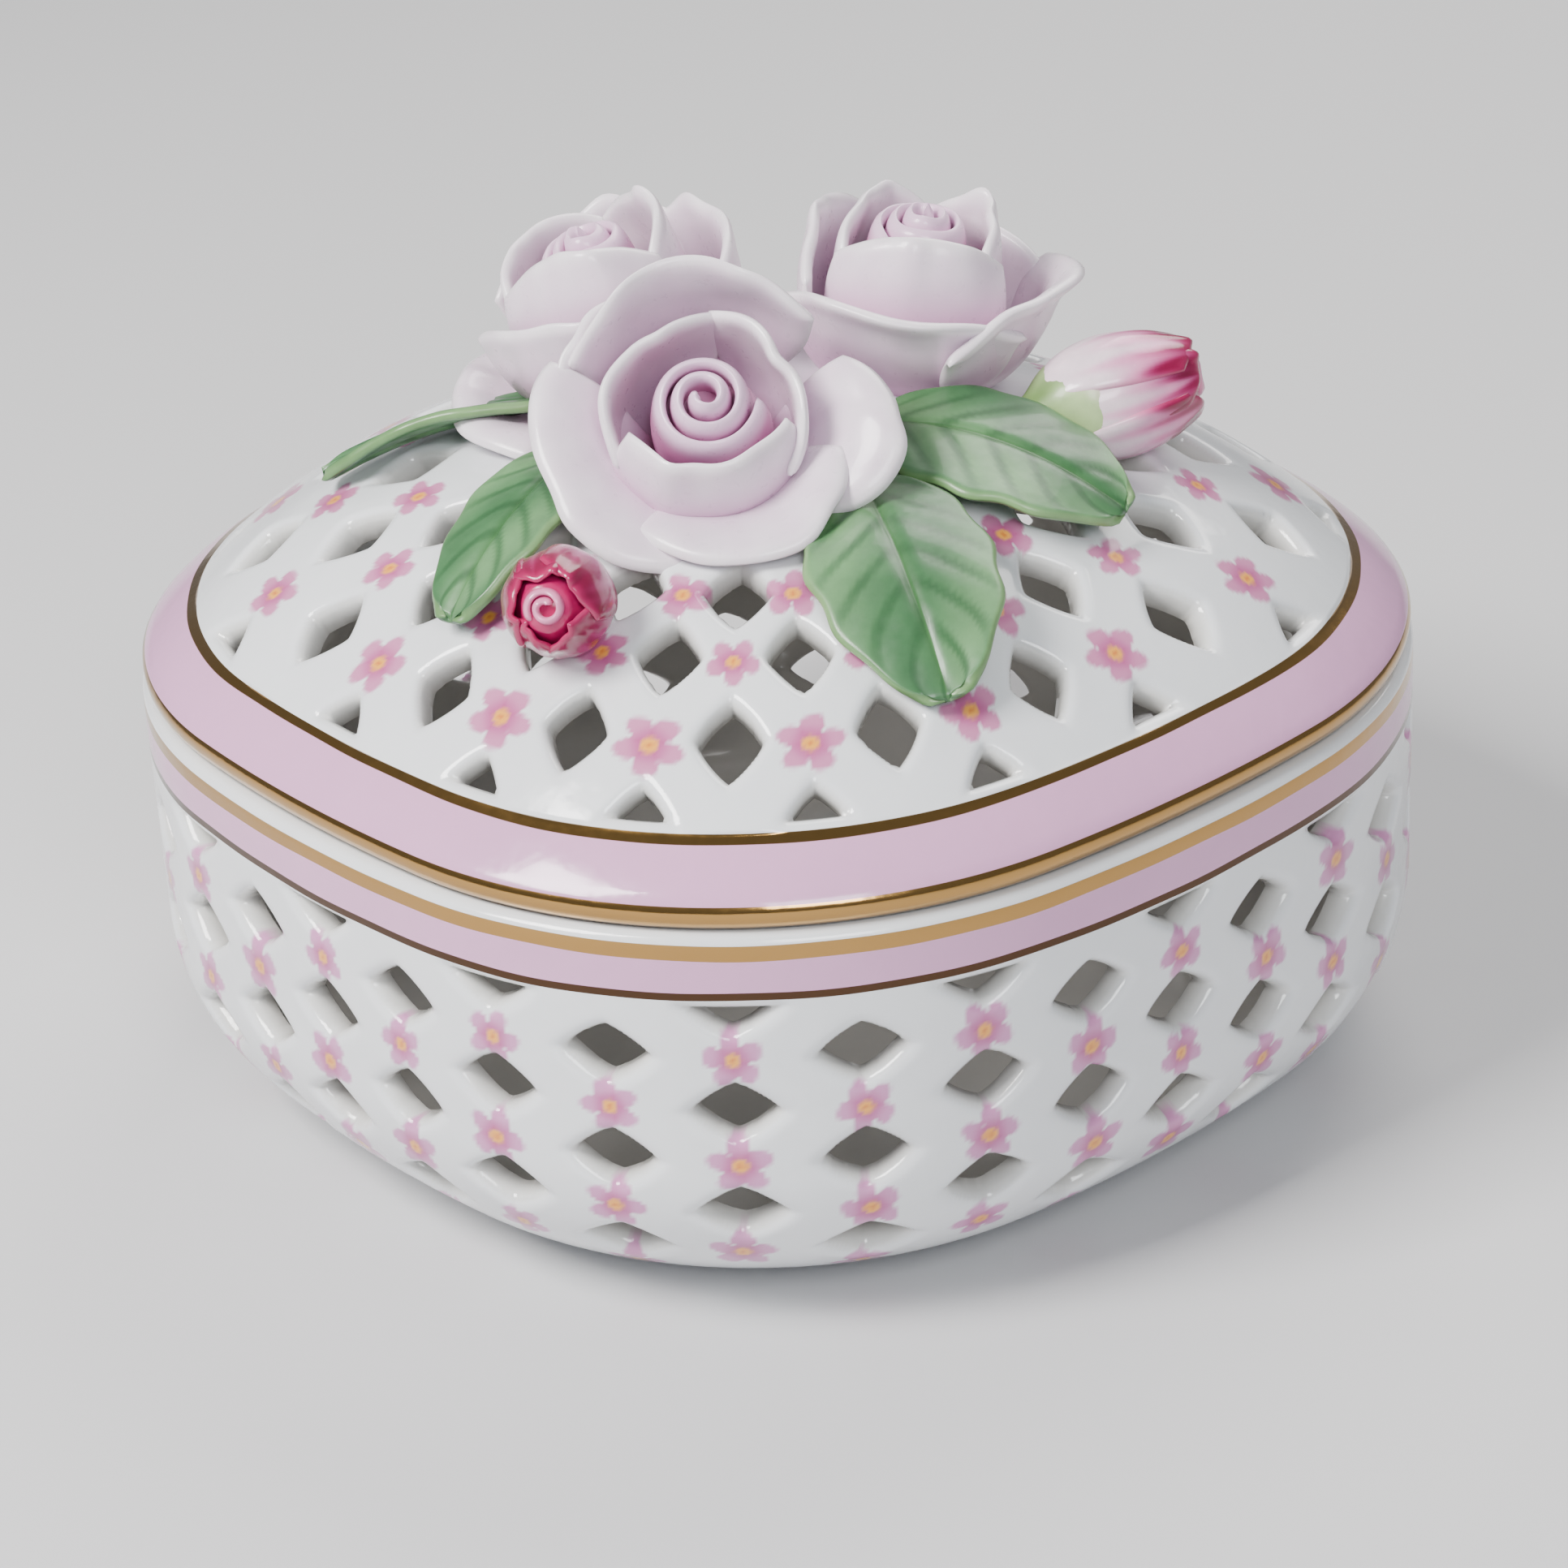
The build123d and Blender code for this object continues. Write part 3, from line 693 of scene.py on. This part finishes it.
# bearing, half angle, width and height factors, then how the rim goes
outer_petals = {
    "front": [
        (98, 58, 0.88, 1.55, dict(roll=0.5, point=1.3, point_at=0.45, droop=0.18, side_roll=0.4, wave=0.5,
                                  seed=1)),
        (158, 40, 0.92, 1.25, dict(roll=0.8, seed=2)),
        (208, 52, 1.04, 1.14, dict(roll=1.3, droop=0.22, side_roll=0.5, wave=0.5, thickness=1.6, seed=3)),
        (290, 52, 1.02, 1.22, dict(roll=0.7, droop=0.24, side_roll=0.0, wave=0.4, thickness=1.6, seed=4)),
        (347, 36, 1.08, 1.12, dict(roll=1.6, droop=0.34, side_roll=1.0, point=0.5, thickness=1.5, seed=5))],
    "left": [
        (100, 52, 0.80, 1.42, dict(roll=0.3, point=0.8, point_at=-0.3, side_roll=0.3, seed=6)),
        (192, 44, 1.12, 0.72, dict(roll=1.9, droop=0.25, side_roll=1.0, wave=0.4, thickness=1.5, seed=7)),
        (252, 64, 0.80, 1.52, dict(roll=0.6, droop=0.18, side_roll=0.2, wave=0.4, thickness=1.4, seed=8)),
        (20, 54, 0.84, 1.36, dict(roll=0.5, point=0.9, point_at=0.4, side_roll=0.4, seed=9))],
    "right": [
        (66, 50, 0.82, 1.25, dict(roll=0.6, side_roll=0.4, seed=10)),
        (334, 56, 0.85, 1.40, dict(roll=2.0, droop=0.18, side_roll=1.0, wave=0.7, point=0.8, point_at=-0.5,
                                   thickness=1.4, seed=11)),
        (256, 60, 0.84, 1.42, dict(roll=1.5, droop=0.2, side_roll=0.5, wave=0.6, thickness=1.4, seed=12)),
        (158, 48, 0.68, 1.62, dict(roll=0.9, point=0.9, point_at=0.1, side_roll=0.6, seed=13))]}
inner_petals = {
    "front": [(22, 64, 0.98, 1.06, dict(roll=0.7, point=0.5, point_at=-0.5, side_roll=0.5, seed=21)),
              (144, 66, 1.0, 1.04, dict(roll=0.6, side_roll=0.4, seed=22)),
              (272, 72, 1.0, 1.03, dict(roll=0.1, wave=0.08, side_roll=0.1, droop=0.10, seed=23))],
    "left": [(20, 62, 0.86, 1.12, dict(roll=0.3, point=0.9, side_roll=0.3, seed=24)),
             (140, 60, 0.90, 1.08, dict(roll=0.4, side_roll=0.3, seed=25)),
             (262, 66, 1.0, 1.06, dict(roll=0.2, point=0.4, side_roll=0.1, seed=26))],
    "right": [(20, 62, 0.78, 1.08, dict(roll=0.2, point=1.1, point_at=0.2, side_roll=0.3, seed=27)),
              (140, 62, 0.80, 1.06, dict(roll=0.3, side_roll=0.3, seed=28)),
              (266, 68, 0.96, 1.00, dict(roll=0.2, wave=0.2, side_roll=0.1, seed=29))]}

for name, (axis, cup, spin, step, top) in rose_stems.items():
    low, high = box_mm(f"rose_{name}_heart")
    middle = (low + high) / 2
    stem = Stand(middle - direction(heart_axis[name]) * HEART_MIDDLE * cup, axis)
    core_line = [(3.6, -2.0), (4.8, 3.0), (4.6, 9.0), (3.2, 10.6 * cup), (0.4, 11.4 * cup)]
    core = turned(stem, core_line, lambda t, a: mixed((0.86, 0.70, 0.80), (0.80, 0.56, 0.70), t))
    spiral = scroll(stem, 2.6, 0.75, step, 3.0, top * cup, 1.25, 0.75, spin, (0.77, 0.47, 0.65),
                    (0.89, 0.76, 0.86))
    verts, faces, colours = joined([core, spiral])
    make(f"{name}_rose_heart", verts, faces, colours, PETAL, "lid", "petal_glaze", [f"rose_{name}_heart"])
    for number, (bearing, half, wide, tall, rim) in enumerate(inner_petals[name], start=1):
        line = bud_front_line if number == 3 else inner_line
        line = scaled_line(line, wide, tall * cup)
        verts, faces, colours = petal(stem, bearing, half, line, deep=0.9, **rim)
        make(f"{name}_rose_inner_{number}", verts, faces, colours, PETAL, "lid", "petal_glaze",
             [f"rose_{name}_inner_petal_{number}"])
    for number, (bearing, half, wide, tall, rim) in enumerate(outer_petals[name], start=1):
        line = open_line if name == "front" and number > 2 else outer_line
        verts, faces, colours = petal(stem, bearing, half, scaled_line(line, wide, tall), **rim)
        make(f"{name}_rose_outer_{number}", verts, faces, colours, PETAL, "lid", "petal_glaze",
             [f"rose_{name}_outer_petal_{number}"])


# ---- buds ----
GOLDEN_ANGLE = 137.5
BUD_MIDDLE = 8.5                        # height of a bud's middle over its root


def bud_colour(pale_end):
    def colour_of(t, a):
        brush = 0.5 + 0.5 * np.sin(11 * a + 3 * np.sin(4 * t * pi)) * np.sin(5 * a + 7 * t)
        base = mixed((0.95, 0.87, 0.90), (0.88, 0.52, 0.70), smooth(pale_end, 0.95, t + 0.2 * brush))
        return mixed(base, (0.70, 0.10, 0.36), smooth(pale_end + 0.2, 1.0, t + 0.28 * brush - 0.1))
    return colour_of


def bud_petal(stem, bearing, half, line, lift, seed, dark):
    verts, faces, _ = petal(stem, bearing, half, [(r + lift, h) for r, h in line], roll=0.35, droop=0.14,
                            side_roll=0.25, wave=0.1, thickness=0.8, seed=seed)
    v = np.tile(np.repeat(packed(0, 1, PETAL_ROWS, 0.2), PETAL_COLS), 2)
    u = np.tile(np.tile(packed(-1, 1, PETAL_COLS), PETAL_ROWS), 2)
    brush = 0.5 + 0.5 * np.sin(13 * u + seed) * np.sin(7 * u * v + seed)
    pink = mixed((0.95, 0.86, 0.90), (0.88, 0.48, 0.68), smooth(0.45 - dark, 0.95, v + 0.25 * brush))
    pink = mixed(pink, (0.52, 0.03, 0.24), smooth(0.72 - dark, 1.0, v + 0.3 * brush - 0.1))
    edge = np.maximum(smooth(0.88, 1.0, v), smooth(0.9, 1.0, np.abs(u)) * v)
    return verts, faces, mixed(pink, (0.80, 0.25, 0.45), edge * 0.5)


def bud(name, axis, length, radius, dark, spin):
    """A closed bud: five wrapped petals around a spiral, in a green calyx."""
    low, high = box_mm(f"bud_{name}_petals")
    middle = (low + high) / 2
    stem = Stand(middle - direction(axis) * BUD_MIDDLE * length, axis)
    line = [(1.4 * radius, 0.6 * length), (3.9 * radius, 3.2 * length), (5.0 * radius, 7.0 * length),
            (4.5 * radius, 11.5 * length), (2.6 * radius, 15.2 * length)]
    parts = [turned(stem, [(r * 0.93, h * 0.97) for r, h in line], bud_colour(0.5 - dark))]
    for k in range(5):
        parts.append(bud_petal(stem, spin + GOLDEN_ANGLE * k, 58 - 3 * k, line, 0.42 - 0.09 * k, k + 3, dark))
    parts.append(scroll(stem, 1.5, 0.5, 1.1 * radius, 9.0 * length, 15.8 * length, 0.75, 0.2, radians(spin),
                        (0.62, 0.06, 0.30), (0.90, 0.55, 0.70), 0.2))
    verts, faces, colours = joined(parts)
    make(f"{name}_bud", verts, faces, colours, BUD, "lid", "bud_glaze", [f"bud_{name}_petals"])
    cup = [(1.3 * radius, -2.4 * length), (2.3 * radius, 0.0), (4.3 * radius, 2.6 * length),
           (5.15 * radius, 5.6 * length), (4.4 * radius, 6.6 * length)]
    calyx = turned(stem, cup, lambda t, a: mixed(
        mixed((0.42, 0.55, 0.30), (0.68, 0.78, 0.55), smooth(0.2, 0.75, t + 0.08 * np.sin(5 * a))),
        (0.93, 0.88, 0.84), smooth(0.72, 1.0, t + 0.10 * np.sin(5 * a + 1))), 5, 0.03)
    make(f"{name}_bud_calyx", *calyx, LEAF, "lid", "leaf_glaze", [f"bud_{name}_calyx"])


bud("front", (-0.16, -0.87, 0.32), 0.78, 0.86, 0.60, 40)
bud("right", (0.95, 0.30, 0.12), 1.12, 1.05, 0.0, 250)


# ---- leaves ----
VEINS, VEIN_SLANT = 6.2, 1.7


def leaf(name, root, tip, width, bow, lean=0.0, seed=0.0, light=0.0):
    """A bowed leaf with veins from root to tip; bow is the radius of its crown."""
    start, end = place(root), place(tip)
    along = (end - start) / np.linalg.norm(end - start)
    across = np.cross((0, 0, 1), along)
    across /= np.linalg.norm(across)
    facing = np.cross(along, across)
    across, facing = across * cos(lean) + facing * sin(lean), facing * cos(lean) - across * sin(lean)
    length = np.linalg.norm(end - start)
    t = packed(0, 1, 61, 0.5)[:, None]
    s = packed(-1, 1, 41, 0.4)[None, :]
    half = width / 2 * np.sin(pi * t ** 1.08) ** 0.52 * (1 + 0.035 * np.sin(26 * t + seed) * (s ** 2))
    half = half * (1 - 0.10 * t) + 0.35
    x = (t - 0.5) * length
    y = s * half
    height = np.sqrt(bow ** 2 - x ** 2 - y ** 2) - sqrt(bow ** 2 - (length / 2) ** 2)
    rib = 0.5 * np.exp(-((y + 0 * t) / 0.55) ** 2) * np.sin(pi * np.clip(t, 0, 1)) ** 0.4
    side_veins = np.sin((t * VEINS - np.abs(s) * VEIN_SLANT) * 2 * pi)
    height = height - rib + 0.06 * side_veins * (1 - np.exp(-(y / 1.2) ** 2)) * (1 - np.abs(s) ** 3)
    height = height + 0.45 * np.sin(7 * t + seed) * s * np.abs(s) + 0.5 * np.abs(s) ** 3
    grid = (start + end) / 2 + x[..., None] * along + y[..., None] * across + height[..., None] * facing
    verts, faces = sheet(grid, 1.15, 3)
    tt, ss = np.tile((t + 0 * s).ravel(), 2), np.tile((s + 0 * t).ravel(), 2)
    vein = np.sin((tt * VEINS - np.abs(ss) * VEIN_SLANT) * 2 * pi + 0.6 * np.sin(9 * tt + seed))
    green = mixed((0.24, 0.42, 0.26), (0.41, 0.58, 0.39), 0.5 + 0.5 * np.sin(5 * tt + 3 * ss + seed) + light)
    green = mixed(green, (0.16, 0.32, 0.18), smooth(0.25, 0.95, -vein) * 0.62 * (1 - np.abs(ss) ** 4))
    green = mixed(green, (0.24, 0.42, 0.22), np.exp(-(ss / 0.07) ** 2) * 0.75)
    green = mixed(green, (0.22, 0.40, 0.20), smooth(0.35, 0.0, tt) * 0.45)
    green = mixed(green, (0.60, 0.72, 0.46), smooth(0.90, 1.0, np.abs(ss)) * 0.5)
    make(f"{name}_leaf", verts, faces, green, LEAF, "lid", "leaf_glaze", [f"leaf_{name}"])


leaf("right", (9.5, -10.5, 23.0), (33.0, -22.0, 17.6), 17.5, 30.0, 0.16, 0.4)
leaf("front", (8.5, -19.0, 20.6), (15.0, -46.3, 11.2), 17.5, 30.0, 0.10, 1.7)
leaf("left", (-16.0, -12.5, 23.2), (-29.3, -31.5, 14.6), 12.0, 34.0, 0.15, 2.9, 0.1)
leaf("far_left", (-18.0, 0.0, 22.6), (-43.0, 1.8, 15.4), 9.0, 44.0, 0.30, 4.1, -0.1)
leaf("back", (2.0, 15.0, 22.6), (4.0, 39.0, 14.8), 12.5, 38.0, 0.0, 5.3)

# ---- clay pad under the spray ----
pad_low, pad_high = box_mm("flower_pad")
pad_reach = (pad_high[0] - pad_low[0]) / 2
pad_stand = Stand(np.array([0.0, 0.0, 0.0]), (0, 0, 1))
pad_line = [(pad_reach * 0.97, pad_low[2] + 0.2), (pad_reach * 0.93, pad_low[2] + 1.6),
            (pad_reach * 0.72, pad_high[2] - 0.9), (pad_reach * 0.35, pad_high[2] - 0.2), (0.5, pad_high[2])]
pad = turned(pad_stand, pad_line, lambda t, a: mixed(GLAZE, (0.86, 0.80, 0.86), t), 7, 0.02, 96, 22)
make("clay_pad", *pad, SHELL, "lid", "leaf_glaze", ["flower_pad"])


# ---- floor, light and camera ----
def plain(name, colour, roughness):
    mat = bpy.data.materials.new(name)
    mat.use_nodes = True
    nodes, links = mat.node_tree.nodes, mat.node_tree.links
    shader = nodes["Principled BSDF"]
    shader.inputs["Roughness"].default_value = roughness
    noise = nodes.new("ShaderNodeTexNoise")
    noise.inputs["Scale"].default_value = 6.0
    ramp = nodes.new("ShaderNodeValToRGB")
    ramp.color_ramp.elements[0].color = (*[c * 0.97 for c in colour], 1)
    ramp.color_ramp.elements[1].color = (*colour, 1)
    links.new(noise.outputs["Fac"], ramp.inputs["Fac"])
    links.new(ramp.outputs["Color"], shader.inputs["Base Color"])
    return mat


bpy.ops.mesh.primitive_plane_add(size=6.0, location=(0, 0, cad_box[0][2]))
floor = bpy.context.object
floor.name = "floor"
floor.data.materials.append(plain("floor_paper", (0.62, 0.62, 0.63), 0.7))

world = bpy.data.worlds.new("studio") if bpy.context.scene.world is None else bpy.context.scene.world
bpy.context.scene.world = world
world.use_nodes = True
world.node_tree.nodes["Background"].inputs["Color"].default_value = (0.80, 0.84, 0.90, 1)
world.node_tree.nodes["Background"].inputs["Strength"].default_value = 0.30


def area_light(name, position, target, size, power, colour):
    lamp = bpy.data.lights.new(name, "AREA")
    lamp.size = size
    lamp.energy = power
    lamp.color = colour
    light = bpy.data.objects.new(name, lamp)
    light.location = position
    light.rotation_euler = (Vector(target) - Vector(position)).to_track_quat("-Z", "Y").to_euler()
    bpy.context.scene.collection.objects.link(light)


def from_spray(x, y, z):
    return tuple(np.array(place((x, y, z))) * MM)


area_light("key", from_spray(-420, -260, 520), (0, 0, 0.05), 0.28, 9.8, (1.0, 0.98, 0.96))
area_light("front", from_spray(120, -620, 420), (0, 0, 0.05), 0.26, 3.0, (0.96, 0.98, 1.0))
area_light("back", from_spray(200, 420, 480), (0, 0, 0.05), 0.40, 3.2, (1.0, 0.97, 0.93))

IMAGE_WIDTH, FOCAL_LENGTH, SENSOR = 1932, 5478.46, 36.0    # the first two in pixels
CAMERA_PLACE = (-0.2546, -0.3057, 0.2311)
AHEAD_X, AHEAD_Y = 0.6402, 0.7682
elevation, roll_turn = radians(27.27), radians(3.05)
ahead = Vector((AHEAD_X * cos(elevation), AHEAD_Y * cos(elevation), -sin(elevation)))
right = Vector((AHEAD_Y, -AHEAD_X, 0.0))
up = right.cross(ahead)
right, up = right * cos(roll_turn) - up * sin(roll_turn), up * cos(roll_turn) + right * sin(roll_turn)
camera = bpy.data.cameras.new("camera")
camera.sensor_width = SENSOR
camera.lens = SENSOR * FOCAL_LENGTH / IMAGE_WIDTH
camera_object = bpy.data.objects.new("camera", camera)
axes = Matrix((right, up, -ahead)).transposed().to_4x4()
camera_object.matrix_world = Matrix.Translation(Vector(CAMERA_PLACE)) @ axes
bpy.context.scene.collection.objects.link(camera_object)
bpy.context.scene.camera = camera_object
